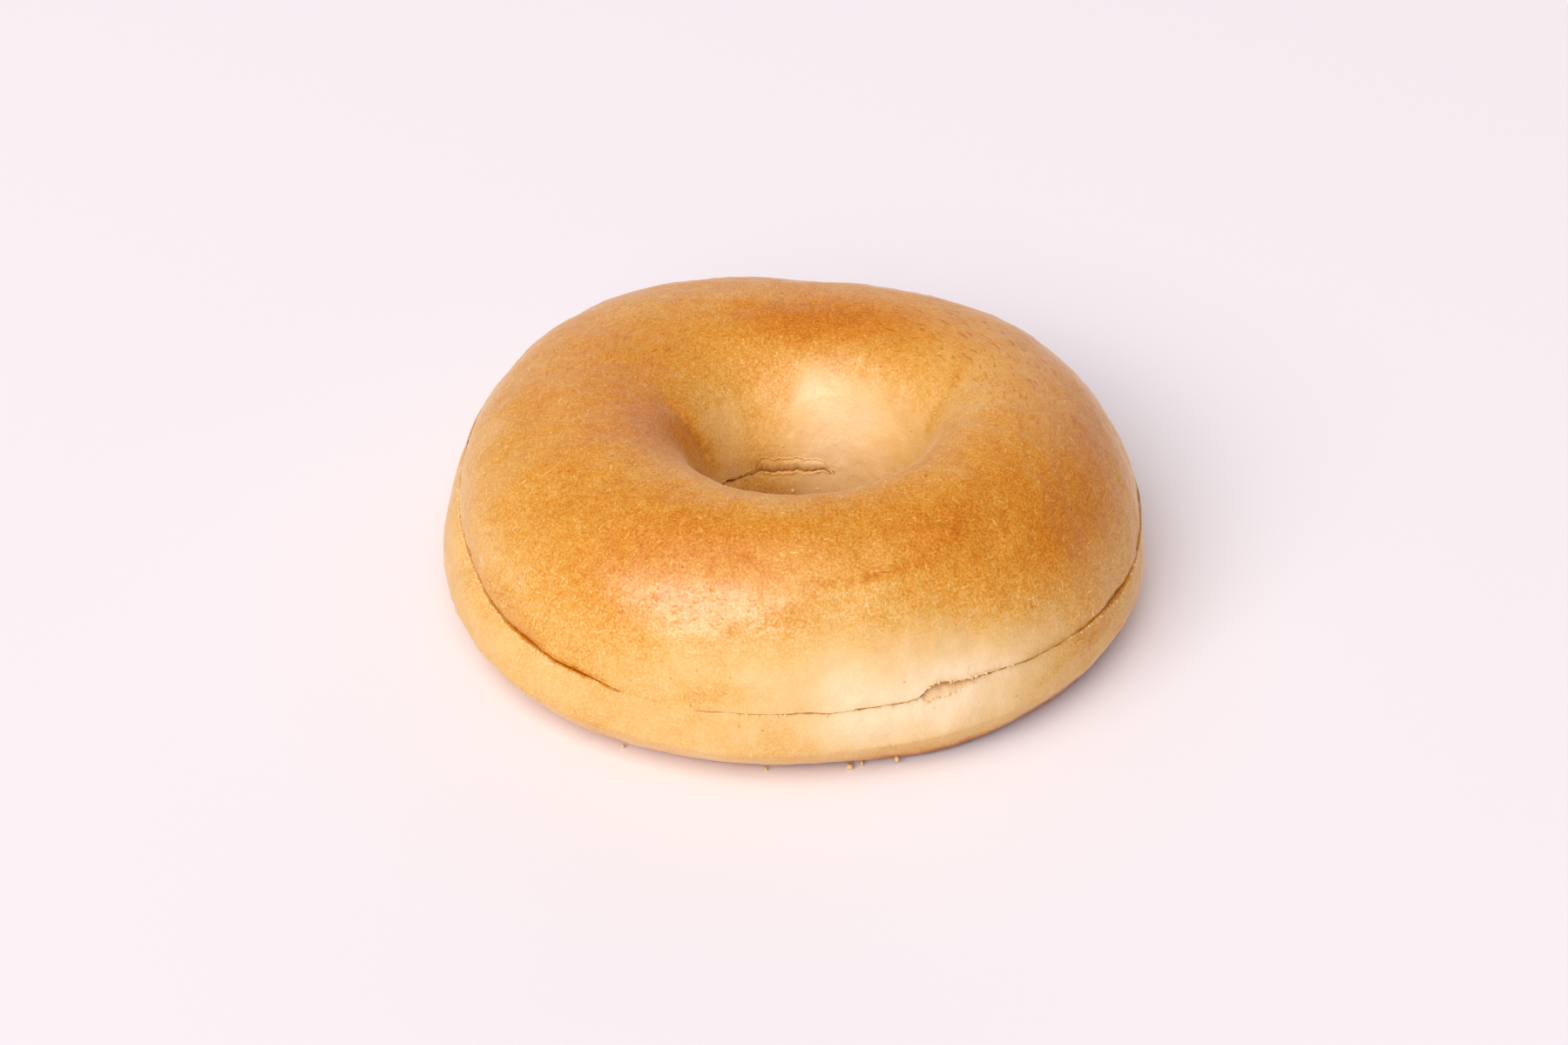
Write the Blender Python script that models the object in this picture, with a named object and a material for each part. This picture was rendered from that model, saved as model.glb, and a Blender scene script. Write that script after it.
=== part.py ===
"""A plain bagel: one ring of dough, boiled and baked, with a bread knife's slit round its side.

The ring is a torus primitive whose sections are reshaped one by one: a domed top, a funnel down to the
hole, full lower sides and a flat foot. The slit is a narrow cut in the outside and in the wall of the
hole. It stops on both sides of a bridge of uncut bread at the front left, so the bagel is one piece.
The origin is under the middle of the bagel, on the surface it lies on. The front is -Y, and +Z is up.
"""

import math

import bpy
from mathutils import Vector

MM = 0.001

# The ring seen from above, in millimetres. A wave is (times round, rise, direction of a crest in degrees)
OUTER_RADIUS = 54.8
OUTER_WAVES = ((2, 1.5, -28.0), (3, 1.4, 3.0), (4, 0.8, 41.0), (5, 0.25, -22.0))
HOLE_RADIUS = 15.4
HOLE_CENTRE = (3.4, -7.4)
HOLE_WAVES = ((2, 0.5, 0.0), (3, 0.9, 30.0))

# The section of the dough rope, in millimetres
CREST_HEIGHT = 34.3
CREST_WAVES = ((1, 2.8, -48.0),)
CREST_SHARE = 0.41
CREST_SHARE_WAVES = ((1, 0.045, 90.0),)
WIDEST_HEIGHT = 6.5
THROAT_HEIGHT = 10.0
FOOT_OUTER_MARGIN = 11.2
FOOT_INNER_MARGIN = 5.0
# How square each quarter of the section is: 2 is an ellipse, and more is squarer
OUTER_TOP_FULLNESS = 1.9
INNER_TOP_FULLNESS = 2.55
INNER_TOP_FULLNESS_WAVES = ((1, 0.35, 270.0),)
INNER_FOOT_FULLNESS = 2.0
OUTER_FOOT_FULLNESS = 2.25

# The slit. It steps up at the front right: (rise, direction, width and fade of the step in degrees)
SLIT_HEIGHT = 13.9
SLIT_TILT = 0.2
SLIT_STEP = (1.3, 291.0, 1.5, 16.0)
SLIT_GAP = 0.6
OUTER_SLIT_DEPTH = 6.0
HOLE_SLIT_DEPTH = 4.0
# The bridge of uncut bread is given by its two edges, in degrees
BRIDGE_FROM = 241.0
BRIDGE_TO = 258.0
BRIDGE_TAPER = 9.0

# Where a half of the bread is drawn in at the slit: (depth, direction in degrees, spread in degrees)
UPPER_TUCKS = ((2.0, 197.0, 32.0), (1.2, 352.0, 30.0))
LOWER_TUCKS = ((1.0, 205.0, 32.0), (-0.9, 343.0, 11.0))
HOLE_TUCKS = ((1.4, 95.0, 40.0),)
UPPER_TUCK_FADE = 4.5
LOWER_TUCK_FADE = 2.5

# Folds pressed into the funnel: (depth, middle, heading in degrees, half length, half width)
FOLDS = ((2.4, (-25.0, 4.5), 128.0, 8.0, 3.0), (0.9, (21.5, -1.5), 60.0, 5.0, 2.5))

# The mesh: sections round the ring, and rows of points round each section
RING_STEPS = 96
TOP_ROWS = 20
LOWER_INNER_ROWS = 5
FOOT_ROWS = 4
LOWER_OUTER_ROWS = 8
SHARP_EDGE = 50.0

CRUST_COLOUR = (0.68, 0.36, 0.12, 1.0)
CRUST_ROUGHNESS = 0.45


def round_ring(angle, mean, waves):
    """A size that rises and falls in waves on its way round the ring."""
    return mean + sum(rise * math.cos(times * (angle - math.radians(crest))) for times, rise, crest in waves)


def turn_between(angle, direction):
    """The turn in degrees from a direction in degrees to an angle in radians, from -180 to 180."""
    return (math.degrees(angle) - direction + 180.0) % 360.0 - 180.0


def drawn_in(angle, tucks):
    """How far these tucks draw the bread in at this angle."""
    return sum(depth * math.exp(-((turn_between(angle, at) / width) ** 2)) for depth, at, width in tucks)


def ease(share):
    """A smooth start and end for a share from 0 to 1."""
    share = min(1.0, max(0.0, share))
    return share * share * (3.0 - 2.0 * share)


def cut_share(angle):
    """1 where the slit has its full depth, and 0 in the bridge."""
    middle = (BRIDGE_FROM + BRIDGE_TO) / 2.0
    half = (BRIDGE_TO - BRIDGE_FROM) / 2.0
    return ease((abs(turn_between(angle, middle)) - half) / BRIDGE_TAPER)


def slit_step(angle):
    """How far the slit lies above or below its plane beside the step in it."""
    rise, direction, width, fade = SLIT_STEP
    turn = turn_between(angle, direction)
    return rise / 2.0 * math.tanh(turn / width) * math.exp(-abs(turn) / fade)


def distance_to_circle(angle, radius, centre):
    """The distance from the origin, along angle, to a circle of that radius about centre."""
    along = centre[0] * math.cos(angle) + centre[1] * math.sin(angle)
    across = centre[1] * math.cos(angle) - centre[0] * math.sin(angle)
    return along + math.sqrt(radius * radius - across * across)


def distance_to_hole(angle):
    """The distance from the origin, along angle, to the throat. Its waves turn about the hole's middle."""
    mean = distance_to_circle(angle, HOLE_RADIUS, HOLE_CENTRE)
    around = math.atan2(mean * math.sin(angle) - HOLE_CENTRE[1], mean * math.cos(angle) - HOLE_CENTRE[0])
    return distance_to_circle(angle, round_ring(around, HOLE_RADIUS, HOLE_WAVES), HOLE_CENTRE)


def evenly(first, last, count):
    """count values from first to last."""
    return [first + (last - first) * step / (count - 1) for step in range(count)]


class Section:
    """The outline of the dough in the vertical half-plane from the origin along angle.

    A point of it has a turn in degrees: 0 is outward, 90 is the crest, 180 is the hole and 270 is the foot.
    """

    def __init__(self, angle):
        self.angle = angle
        self.outer = round_ring(angle, OUTER_RADIUS, OUTER_WAVES)
        self.inner = distance_to_hole(angle)
        self.height = round_ring(angle, CREST_HEIGHT, CREST_WAVES)
        crest_share = round_ring(angle, CREST_SHARE, CREST_SHARE_WAVES)
        self.crest = self.inner + crest_share * (self.outer - self.inner)
        self.funnel_fullness = round_ring(angle, INNER_TOP_FULLNESS, INNER_TOP_FULLNESS_WAVES)
        self.slit = SLIT_HEIGHT + SLIT_TILT * math.sin(angle) + slit_step(angle)

    def quarter(self, turn):
        """(centre radius, centre height, reach across, reach up, fullness) of the quarter at turn."""
        if turn < 90.0:
            reach = (self.outer - self.crest, self.height - WIDEST_HEIGHT)
            return self.crest, WIDEST_HEIGHT, *reach, OUTER_TOP_FULLNESS
        if turn < 180.0:
            reach = (self.crest - self.inner, self.height - THROAT_HEIGHT)
            return self.crest, THROAT_HEIGHT, *reach, self.funnel_fullness
        if turn < 270.0:
            reach = (FOOT_INNER_MARGIN, THROAT_HEIGHT)
            return self.inner + FOOT_INNER_MARGIN, THROAT_HEIGHT, *reach, INNER_FOOT_FULLNESS
        reach = (FOOT_OUTER_MARGIN, WIDEST_HEIGHT)
        return self.outer - FOOT_OUTER_MARGIN, WIDEST_HEIGHT, *reach, OUTER_FOOT_FULLNESS

    def point(self, turn):
        """(radius, height) of the outline at a turn, as if the bread were uncut."""
        turn = turn % 360.0
        radius, height, across, up, fullness = self.quarter(turn)
        cosine, sine = math.cos(math.radians(turn)), math.sin(math.radians(turn))
        radius += math.copysign(across * abs(cosine) ** (2.0 / fullness), cosine)
        height += math.copysign(up * abs(sine) ** (2.0 / fullness), sine)
        return radius, max(0.0, height)

    def turn_at(self, height, towards_hole):
        """The turn where the side, or the wall of the hole, has this height."""
        _, base, _, up, fullness = self.quarter(135.0 if towards_hole else 45.0)
        turn = math.degrees(math.asin(((height - base) / up) ** (fullness / 2.0)))
        return 180.0 - turn if towards_hole else turn

    def upper(self, turn):
        """A point of the upper half, which is drawn in at the slit."""
        radius, height = self.point(turn)
        fade = math.exp(-max(0.0, height - self.slit) / UPPER_TUCK_FADE)
        if turn < 90.0:
            return radius - fade * drawn_in(self.angle, UPPER_TUCKS), height
        return radius + fade * drawn_in(self.angle, HOLE_TUCKS), height

    def lower(self, turn):
        """A point of the lower half's outer side, which is drawn in less."""
        radius, height = self.point(turn)
        fade = math.exp(-abs(self.slit - height) / LOWER_TUCK_FADE)
        return radius - fade * drawn_in(self.angle, LOWER_TUCKS), height

    def rows(self):
        """The points in the order of the torus primitive's rows: from the slit over the top and under."""
        above, below = self.slit + SLIT_GAP / 2.0, self.slit - SLIT_GAP / 2.0
        upper_out, lower_out = self.turn_at(above, False), self.turn_at(below, False)
        upper_in, lower_in = self.turn_at(above, True), self.turn_at(below, True)
        cut = cut_share(self.angle)
        outer_side = min(self.upper(upper_out)[0], self.lower(lower_out)[0])
        hole_side = max(self.upper(upper_in)[0], self.point(lower_in)[0])
        points = [(outer_side - cut * OUTER_SLIT_DEPTH, self.slit)]
        points += [self.upper(turn) for turn in evenly(upper_out, upper_in, TOP_ROWS)]
        points += [(hole_side + cut * HOLE_SLIT_DEPTH, self.slit)]
        points += [self.point(turn) for turn in evenly(lower_in, 270.0, LOWER_INNER_ROWS)[:-1]]
        foot = evenly(self.inner + FOOT_INNER_MARGIN, self.outer - FOOT_OUTER_MARGIN, FOOT_ROWS)
        points += [(radius, 0.0) for radius in foot]
        points += [self.lower(turn) for turn in evenly(270.0, 360.0 + lower_out, LOWER_OUTER_ROWS)[1:]]
        return points


def fold_depth(place):
    """How far the folds press down a point of the top, in millimetres."""
    depth = 0.0
    for deep, middle, heading, half_length, half_width in FOLDS:
        axis = Vector((math.cos(math.radians(heading)), math.sin(math.radians(heading))))
        offset = place.xy - Vector(middle)
        along = offset.dot(axis) / half_length
        across = (offset.y * axis.x - offset.x * axis.y) / half_width
        depth += deep * math.exp(-along * along - across * across)
    return depth


def make_ring():
    """The bagel: a torus whose rows of points are moved onto the sections."""
    row_count = TOP_ROWS + LOWER_INNER_ROWS + FOOT_ROWS + LOWER_OUTER_ROWS
    bpy.ops.mesh.primitive_torus_add(
        major_segments=RING_STEPS,
        minor_segments=row_count,
        major_radius=OUTER_RADIUS * MM / 2.0,
        minor_radius=OUTER_RADIUS * MM / 4.0,
    )
    bagel = bpy.context.object
    bagel.name = "bagel"
    bagel.data.name = "bagel"
    for step in range(RING_STEPS):
        section = Section(2.0 * math.pi * step / RING_STEPS)
        for row, (radius, height) in enumerate(section.rows()):
            place = Vector((radius * math.cos(section.angle), radius * math.sin(section.angle), height))
            place.z -= fold_depth(place) * ease((height - section.slit) / (section.height - section.slit))
            bagel.data.vertices[step * row_count + row].co = place * MM
    return bagel


def centre_on_box(bagel):
    """Moves the mesh so that the middle of its box is over the origin."""
    places = [vertex.co for vertex in bagel.data.vertices]
    for axis in (0, 1):
        middle = (min(place[axis] for place in places) + max(place[axis] for place in places)) / 2.0
        for place in places:
            place[axis] -= middle


def baked_crust():
    """Baked crust: golden brown, with a dull shine from the boiled starch."""
    crust = bpy.data.materials.new("baked_crust")
    crust.use_nodes = True
    shader = crust.node_tree.nodes["Principled BSDF"]
    shader.inputs["Base Color"].default_value = CRUST_COLOUR
    shader.inputs["Roughness"].default_value = CRUST_ROUGHNESS
    shader.inputs["Metallic"].default_value = 0.0
    return crust


def main():
    for old in list(bpy.data.objects):
        bpy.data.objects.remove(old)
    bagel = make_ring()
    centre_on_box(bagel)
    bagel.data.materials.append(baked_crust())
    bagel.data.shade_smooth()
    bagel.data.set_sharp_from_angle(angle=math.radians(SHARP_EDGE))
    food = bpy.data.collections.new("plain_bagel")
    bpy.context.scene.collection.children.link(food)
    for collection in list(bagel.users_collection):
        collection.objects.unlink(bagel)
    food.objects.link(bagel)


main()
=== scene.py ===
import math
from types import SimpleNamespace

import bpy
import numpy as np
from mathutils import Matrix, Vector, noise


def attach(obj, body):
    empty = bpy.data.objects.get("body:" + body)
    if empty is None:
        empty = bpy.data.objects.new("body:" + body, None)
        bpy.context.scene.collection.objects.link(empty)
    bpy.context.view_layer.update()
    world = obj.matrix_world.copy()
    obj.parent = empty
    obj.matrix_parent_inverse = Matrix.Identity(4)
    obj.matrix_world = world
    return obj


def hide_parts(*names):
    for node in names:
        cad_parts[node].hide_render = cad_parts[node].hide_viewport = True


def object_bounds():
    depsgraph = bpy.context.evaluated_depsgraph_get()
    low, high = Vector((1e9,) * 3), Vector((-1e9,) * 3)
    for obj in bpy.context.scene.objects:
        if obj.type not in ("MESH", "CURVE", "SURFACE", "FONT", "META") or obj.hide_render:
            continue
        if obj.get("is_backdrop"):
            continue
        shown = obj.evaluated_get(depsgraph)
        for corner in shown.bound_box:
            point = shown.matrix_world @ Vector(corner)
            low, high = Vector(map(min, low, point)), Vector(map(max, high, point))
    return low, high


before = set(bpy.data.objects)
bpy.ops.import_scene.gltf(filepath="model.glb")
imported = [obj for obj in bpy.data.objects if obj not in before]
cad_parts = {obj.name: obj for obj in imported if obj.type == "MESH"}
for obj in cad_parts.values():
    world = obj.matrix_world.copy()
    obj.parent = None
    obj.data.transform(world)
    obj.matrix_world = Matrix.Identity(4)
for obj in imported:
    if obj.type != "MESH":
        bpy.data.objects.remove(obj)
cad_low, cad_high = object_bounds()


# --- The bread -----------------------------------------------------------------------------------
# One rope of wheat dough closed into a ring, boiled, then baked. The top has risen and browned, and
# the foot has spread on the tray. A bread knife has slit it all round the side, but for a bridge of
# uncut bread at the front left, so the two halves are still one piece.

# Every size of the bread is in millimetres, on a bagel of this width
BREAD_WIDTH = 109.72
MM = (cad_high.x - cad_low.x) / BREAD_WIDTH

# The ring seen from above. A wave is (times round, rise, direction of a crest in degrees)
OUTER_RADIUS = 54.8
OUTER_WAVES = ((2, 1.5, -28.0), (3, 1.4, 3.0), (4, 0.8, 41.0), (5, 0.25, -22.0))
HOLE_RADIUS = 15.4
HOLE_CENTRE = (3.4, -7.4)
HOLE_WAVES = ((2, 0.5, 0.0), (3, 0.9, 30.0))

# The section of the dough rope, with its crest a share of the way out from the hole. A fullness of 2 is
# an ellipse, and more is squarer
CREST_HEIGHT = 34.3
CREST_WAVES = ((1, 2.8, -48.0),)
CREST_SHARE = 0.41
CREST_SHARE_WAVES = ((1, 0.045, 90.0),)
WIDEST_HEIGHT = 6.5
THROAT_HEIGHT = 10.0
OUTER_TOP_FULLNESS = 1.9
FUNNEL_FULLNESS = 2.55
FUNNEL_FULLNESS_WAVES = ((1, 0.35, 270.0),)
INNER_FOOT_FULLNESS = 2.0
OUTER_FOOT_FULLNESS = 1.25

# How far the foot turns in under the side. It spreads further out at the front, and it is lifted off the
# tray at the front right, and is narrower there. A bump is (size, direction, spread), in degrees
FOOT_OUTER_MARGIN = 6.2
FOOT_INNER_MARGIN = 5.0
FOOT_SPREADS = ((1.9, 297.0, 13.0),)
FOOT_LIFTS = ((1.6, 324.0, 22.0),)
LIFT_NARROWING = 2.2

# The slit follows a plane, and wobbles with the knife's strokes. It steps up at the front right, by
# (rise, direction, width, fade), and wanders in bumps
SLIT_HEIGHT = 13.9
SLIT_TILT = 0.2
SLIT_STEP = (1.7, 292.7, 1.2, 12.0)
SLIT_SHIFTS = ((0.6, 293.0, 5.0), (0.6, 300.0, 8.0), (-0.9, 335.0, 12.0), (-0.8, 90.0, 50.0))
SLIT_WOBBLE = ((9, 0.12, 40.0), (17, 0.10, 11.0), (31, 0.07, 5.0), (53, 0.05, 2.0))
# Where the bread is uncut at the side, and where the wall of the hole is cut
BRIDGE = (243.5, 255.5)
BRIDGE_TAPER = 6.0
HOLE_CUT = (70.0, 300.0)
HOLE_CUT_TAPER = 12.0
# How deep the cuts are, and half the gap between their closed faces
OUTER_SLIT_DEPTH = 6.0
HOLE_SLIT_DEPTH = 4.0
CLOSED_HALF = 0.05
# How far apart the halves are at their edges, and the rows on the uncut skin
CLOSED_GAP = 0.04
HOLE_GAP = 0.10
UNCUT_GAP = 0.2
OPEN_GAPS = (
    (0.45, 222.0, 15.0),
    (0.14, 180.0, 30.0),
    (0.32, 295.0, 4.0),
    (0.14, 311.0, 6.0),
    (1.30, 335.0, 7.0),
)
HOLE_OPENINGS = ((0.75, 133.0, 11.0),)
# How far each half is drawn in towards the slit
UPPER_TUCKS = ((2.0, 197.0, 32.0), (0.45, 336.0, 10.0))
LOWER_TUCKS = ((2.1, 199.0, 34.0), (0.35, 300.0, 30.0), (0.3, 336.0, 8.0))
UPPER_TUCK_FADE = 4.5
LOWER_TUCK_FADE = 1.9
# The upper half's edge rolls under at the slit. The lower half's edge is crisp and toothed outside, and
# round in the hole
HOLE_ROUNDINGS = ((0.6, 124.0, 22.0),)
LIP_ROLLS = ((0.5, 210.0, 30.0), (0.1, 275.0, 18.0), (0.1, 332.0, 13.0), (0.12, 90.0, 70.0))
LIP_ROLL_FADE = 0.8
TOOTH_WAVES = ((97, 0.05, 1.0), (131, 0.05, 0.4), (163, 0.04, 0.7), (61, 0.06, 2.0))
# Where the knife tore a strip of skin away: from the lower half after the step, and from the upper
# half in the far wall of the hole. Each is (directions, heights of the torn strip there)
OUTER_TEAR = ((291.9, 293.2, 296.5, 299.5, 301.5, 303.0), (0.0, 2.0, 1.8, 1.2, 0.4, 0.0))
HOLE_TEAR = ((74.0, 77.0, 84.0, 116.0, 122.0, 128.0), (0.0, 1.4, 2.2, 2.4, 0.6, 0.0))
# A strip is all bare crumb from this height on. The crumb is sunk by a share of its height, and ragged
TEAR_BLEND = 0.5
TEAR_DEPTH = 0.4
TEAR_FEATURE = 0.7
OUTER_TEAR_RAG = 0.30
HOLE_TEAR_RAG = 0.09

# The skin's relief: (rise, size of a feature, octaves, seed) of the slow swells of the dough, of its
# dimples, and of the fine wrinkles of a skin that dried and shrank
RELIEFS = ((0.45, 16.0, 2, 1), (0.16, 5.0, 2, 2), (0.08, 1.9, 3, 3))
RELIEF_SINK = 0.25
FOOT_BLEND = 3.0

# Creases pressed into the crust: (depth, half width, points along it)
CREASES = (
    (1.0, 1.6, ((-10.5, 3.0, 13.0), (-12.5, 2.0, 20.0), (-15.5, 2.0, 26.0), (-19.5, 3.5, 30.5))),
    (0.5, 0.8, ((20.0, -4.5, 28.5), (21.5, -3.0, 32.0))),
    (0.6, 1.0, ((22.0, -1.5, 33.5), (24.0, 2.5, 34.5))),
    (0.5, 1.1, ((42.5, -35.0, 7.5), (48.5, -27.0, 8.5))),
)

# How brown the oven has made it, from 0 for pale to 1 for dark: (turn round the section, brownness)
BAKE_LEVELS = (
    (-90.0, 1.05), (-55.0, 0.62), (-38.0, 0.44), (-20.0, 0.38),
    (10.0, 0.40), (22.0, 0.46), (40.0, 0.58), (60.0, 0.68),
    (95.0, 0.70), (112.0, 0.66), (128.0, 0.56), (145.0, 0.42),
    (165.0, 0.32), (200.0, 0.34), (250.0, 0.70), (270.0, 1.05),
)
# Where it is browner or paler than that: (direction, spread, turn, spread, amount)
BAKE_PATCHES = (
    # The pale side that lay against the next bagel on the tray, and its soft upper edge
    (293.0, 17.0, 13.0, 14.0, -0.46),
    (284.0, 22.0, 33.0, 14.0, -0.20),
    (262.0, 22.0, 22.0, 12.0, -0.08),
    # The browned shoulder at the front right, the crest in front of the hole and the far crest
    (326.0, 20.0, 44.0, 20.0, 0.26),
    (305.0, 16.0, 70.0, 12.0, 0.18),
    (281.0, 14.0, 55.0, 8.0, -0.10),
    (258.0, 34.0, 74.0, 13.0, 0.12),
    (236.0, 9.0, 42.0, 12.0, 0.10),
    (68.0, 28.0, 100.0, 16.0, 0.24),
    (96.0, 20.0, 98.0, 12.0, 0.10),
    (192.0, 28.0, 112.0, 20.0, 0.22),
    # Paler crust at the right and the far right; browner on the right shoulder, partly painted shade on the
    # side turned from the key light
    (8.0, 30.0, 104.0, 22.0, -0.10),
    (350.0, 16.0, 56.0, 20.0, 0.10),
    (352.0, 16.0, 112.0, 20.0, -0.06),
    # The hole's wall: palest at the right, golden at the back; browner at the left, in the middle and low
    # down, partly as painted shade deep in the hole
    (48.0, 34.0, 150.0, 20.0, -0.25),
    (72.0, 10.0, 135.0, 12.0, -0.16),
    (50.0, 40.0, 190.0, 30.0, -0.08),
    (150.0, 22.0, 143.0, 13.0, -0.10),
    # Painted shade, over the crust's own colour: the left wall, the middle and the foot of the hole
    (190.0, 26.0, 142.0, 22.0, 0.40),
    (110.0, 44.0, 192.0, 22.0, 0.38),
    (118.0, 22.0, 150.0, 16.0, 0.12),
    # The right side browner, partly its own crust and partly painted shade on the side turned from the key
    # light; the left side paler, a painted sheen; browner patches at the front left, below the gloss, and
    # at the back left
    (344.0, 22.0, 8.0, 42.0, 0.12),
    (188.0, 30.0, 30.0, 34.0, -0.03),
    (236.0, 18.0, 62.0, 16.0, 0.10),
    (256.0, 18.0, 46.0, 9.0, 0.08),
    (150.0, 30.0, 92.0, 28.0, 0.06),
    # The rim of the base at the front right: browned by the tray, and darker still as painted contact shade
    (316.0, 34.0, -70.0, 16.0, 1.1),
    # By the slit: a band of painted shade above it at the left, where the upper half rolls under into it,
    # then small scorches
    (214.0, 26.0, 23.0, 5.0, 0.14),
    (257.0, 4.0, 19.0, 3.5, 0.16),
    (325.0, 5.0, 11.0, 3.5, 0.24),
    (318.0, 5.0, 6.0, 3.0, 0.10),
)
# The edges of those patches wander by these degrees, and a fine mottle lies over all:
# (amount, size of a feature, octaves, seed)
TURN_WANDER = 4.0
DIRECTION_WANDER = 5.0
WANDER_FEATURE = 13.0
MOTTLES = ((0.07, 9.0, 3, 7), (0.05, 3.0, 2, 8))
# Painted shade on the edge of the upper half at the side, where it rolls under into the slit
PAINTED_LIP_SHADE = ((0.50, 224.0, 17.0), (0.16, 338.0, 8.0))
PAINTED_LIP_SHADE_FADE = 1.1
# Painted shade in the slit: how dark its faces are at its edges and deep in it, deeper where the gap is
# open, and the colour of the torn crumb, with painted shade deeper under the lip
FACE_SHADE = 0.50
HOLE_FACE_SHADE = 0.35
OPEN_SHADE = 1.30
OPEN_GAP = 0.2
CLOSED_SHADE = 0.85
HOLE_SHADE = 0.90
OUTER_SHADE_POWER = 0.7
HOLE_SHADE_POWER = 2.0
TORN_SHADE = 0.12
TORN_DEEP_SHADE = 0.47
# Where the boiled skin dried to a gloss
GLOSS_PATCHES = (
    (256.0, 18.0, 46.0, 9.0, 1.5),
    (62.0, 16.0, 130.0, 14.0, 0.7),
    (280.0, 60.0, 60.0, 50.0, 0.06),
)
# Where the skin stretched and tore in short dark dashes as the dough rose
STRETCHED_PATCHES = (
    (25.0, 42.0, 78.0, 38.0, 1.0),
    (150.0, 34.0, 80.0, 30.0, 0.45),
)
# Browner lines where the skin folded over as the dough rose: (amount, half width, points along it)
FOLD_MARK = (
    (-9.5, -37.5, 34.5),
    (-8.0, -40.0, 33.5),
    (-2.5, -44.0, 31.5),
    (7.5, -44.0, 31.0),
    (19.0, -40.0, 32.0),
)
BAKE_LINES = (
    (0.20, 0.7, FOLD_MARK),
    (0.16, 1.5, ((23.0, -35.5, 33.5), (26.0, -29.5, 36.0), (27.0, -24.5, 36.5))),
    # The last two run along the creases by the hole, where the browning is painted shade in the crease
    (0.14, 1.2, ((20.5, -1.5, 28.5), (22.0, -0.5, 31.0), (23.5, 1.5, 33.5), (27.0, 9.0, 35.0))),
    (0.16, 1.6, ((-11.5, 2.5, 16.0), (-13.5, 2.0, 21.5), (-16.0, 2.0, 27.0))),
)
# They come and go along their length
LINE_LEVEL = 0.6
LINE_SWING = 1.2
LINE_FEATURE = 4.0

# The fibres and dashes of the crust are laid out on a rope with its middle this share of the way out
ROPE_MIDDLE = 0.7

# How far the noise is shifted for each seed
NOISE_STEPS = (7.1, 3.7, 5.3)

# The mesh: sections round the ring, closest at the front, and the rows of points round each section
SECTIONS = 560
SECTION_CROWDING = 0.3
TOP_ROWS = 104
LOWER_INNER_ROWS = 18
FOOT_ROWS = 4
LOWER_OUTER_ROWS = 34
# Rows are this close at a lip. Beyond its reach they are coarse, by a share of an even spacing
LIP_SPACING = 0.18
LIP_REACH = 4.0
COARSE_SHARE = 1.15
# The points on which a section is measured before its rows are laid
TRACE_POINTS = 400
# The foot is flat between these turns
FOOT_TURNS = (269.9, 270.1)
# How many rows of the slit in the hole are torn
TORN_HOLE_ROWS = 5


def round_ring(angle, mean, waves):
    """A size that rises and falls in waves on its way round the ring."""
    return mean + sum(rise * np.cos(times * (angle - math.radians(crest))) for times, rise, crest in waves)


def turn_between(angle, direction):
    """The turn in degrees from a direction in degrees to an angle in radians, from -180 to 180."""
    return (np.degrees(angle) - direction + 180.0) % 360.0 - 180.0


def bumps(angle, places):
    """The sum of smooth bumps, each of a size, at a direction, with a spread."""
    return sum(size * np.exp(-((turn_between(angle, at) / spread) ** 2)) for size, at, spread in places)


def ease(share):
    """A smooth start and end for a share from 0 to 1."""
    share = np.clip(share, 0.0, 1.0)
    return share * share * (3.0 - 2.0 * share)


def distance_to_circle(angle, radius, centre):
    """The distance from the middle, along angle, to a circle of that radius about centre."""
    along = centre[0] * np.cos(angle) + centre[1] * np.sin(angle)
    across = centre[1] * np.cos(angle) - centre[0] * np.sin(angle)
    return along + np.sqrt(radius * radius - across * across)


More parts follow.
